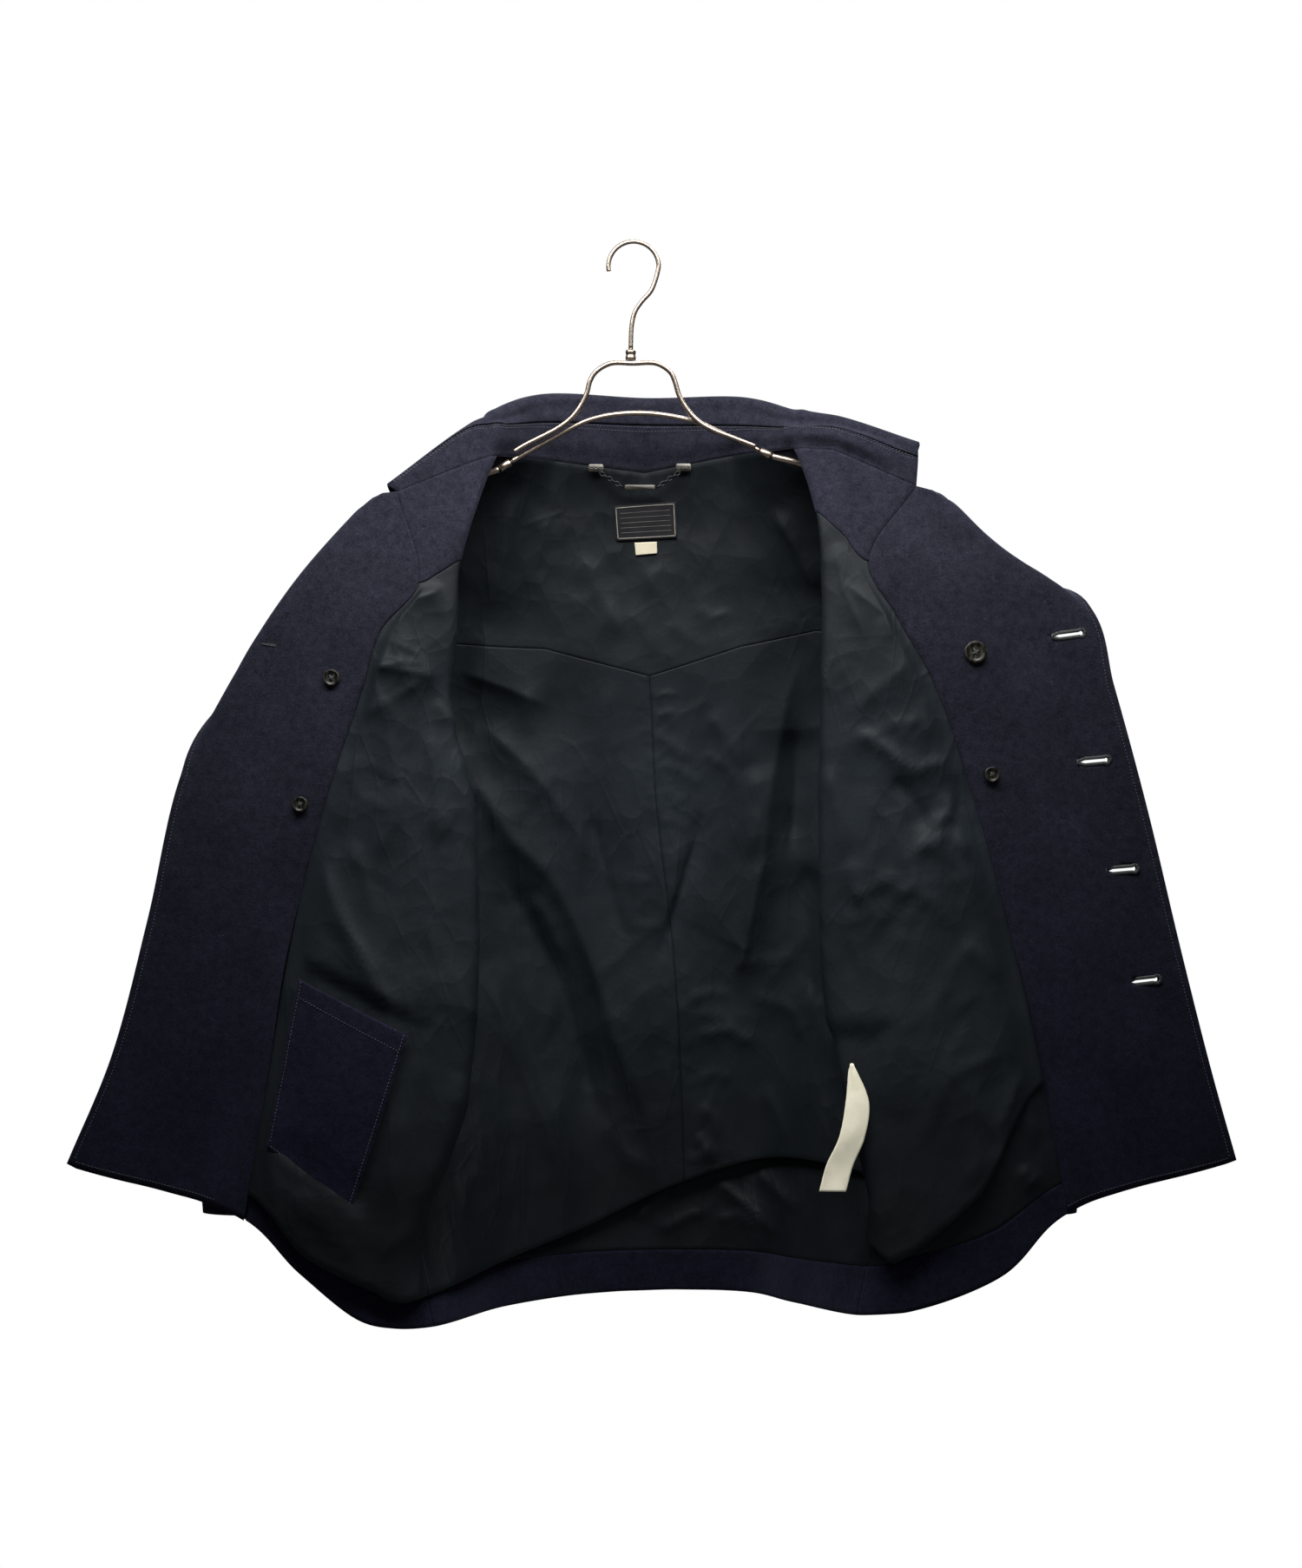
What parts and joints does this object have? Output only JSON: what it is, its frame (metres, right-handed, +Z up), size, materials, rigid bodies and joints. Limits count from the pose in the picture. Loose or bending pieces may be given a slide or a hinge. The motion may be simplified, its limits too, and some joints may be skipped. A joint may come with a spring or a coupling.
{
  "type": "pea coat on a hanger",
  "caption": "Double-breasted wool pea coat hanging open on a metal hanger, fronts swung out to show facings, lining, inner pocket and hanging chain.",
  "frame": {"origin": "inside top of the hanger's hook, where the rail carries it", "axes": "+Z up, +X along the hanger to the viewer's right of the open coat, -Y out of the open front"},
  "size_m": [1.0302, 0.206, 0.9504],
  "materials": {
    "wool": "dense navy melton wool with a short soft nap",
    "pocket_wool": "smoother navy wool cloth",
    "lining": "dark green-black twill lining, faintly glossy and creased",
    "hanger_metal": "satin champagne nickel plating",
    "chain_metal": "gunmetal plating",
    "button": "dark polished horn-like plastic",
    "label_black": "woven black label with a grey border",
    "tab_cream": "woven cream tab",
    "satin_cream": "cream satin ribbon"
  },
  "bodies": {
    "root": {"hanger_hook": "hanger_metal", "hanger_ferrule": "hanger_metal", "hanger_frame": "hanger_metal", "hanger_bar": "hanger_metal", "hanger_arm_left": "hanger_metal", "hanger_sleeve_left": "hanger_metal", "hanger_arm_right": "hanger_metal", "hanger_sleeve_right": "hanger_metal", "front_left": "wool", "front_right": "wool", "back_left": "wool", "back_right": "wool", "facing_left": "wool", "upper_facing_left": "wool", "facing_right": "wool", "upper_facing_right": "wool", "lining_yoke": "lining", "lining_back_left": "lining", "lining_back_right": "lining", "lining_front_left": "lining", "lining_front_right": "lining", "lining_return_back": "lining", "lining_return_right": "lining", "hem_band_left": "wool", "hem_band_back_left": "wool", "hem_band_back_right": "wool", "hem_band_right": "wool", "collar_stand": "wool", "collar_fall": "wool", "sleeve_left": "wool", "sleeve_right": "wool", "backing_button_left_upper": "button", "backing_button_left_lower": "button", "inner_button_right": "button", "backing_button_right": "button", "coat_button_left_1": "button", "coat_button_left_2": "button", "coat_button_left_3": "button", "coat_button_left_4": "button", "coat_button_right_1": "button", "coat_button_right_2": "button", "coat_button_right_3": "button", "coat_button_right_4": "button", "inner_pocket": "pocket_wool", "neck_label": "label_black", "size_tab": "tab_cream", "care_label": "satin_cream", "chain_plate_left": "chain_metal", "chain_plate_right": "chain_metal", "chain_bar": "chain_metal", "chain_left": "chain_metal", "chain_right": "chain_metal"}
  },
  "joints": []
}
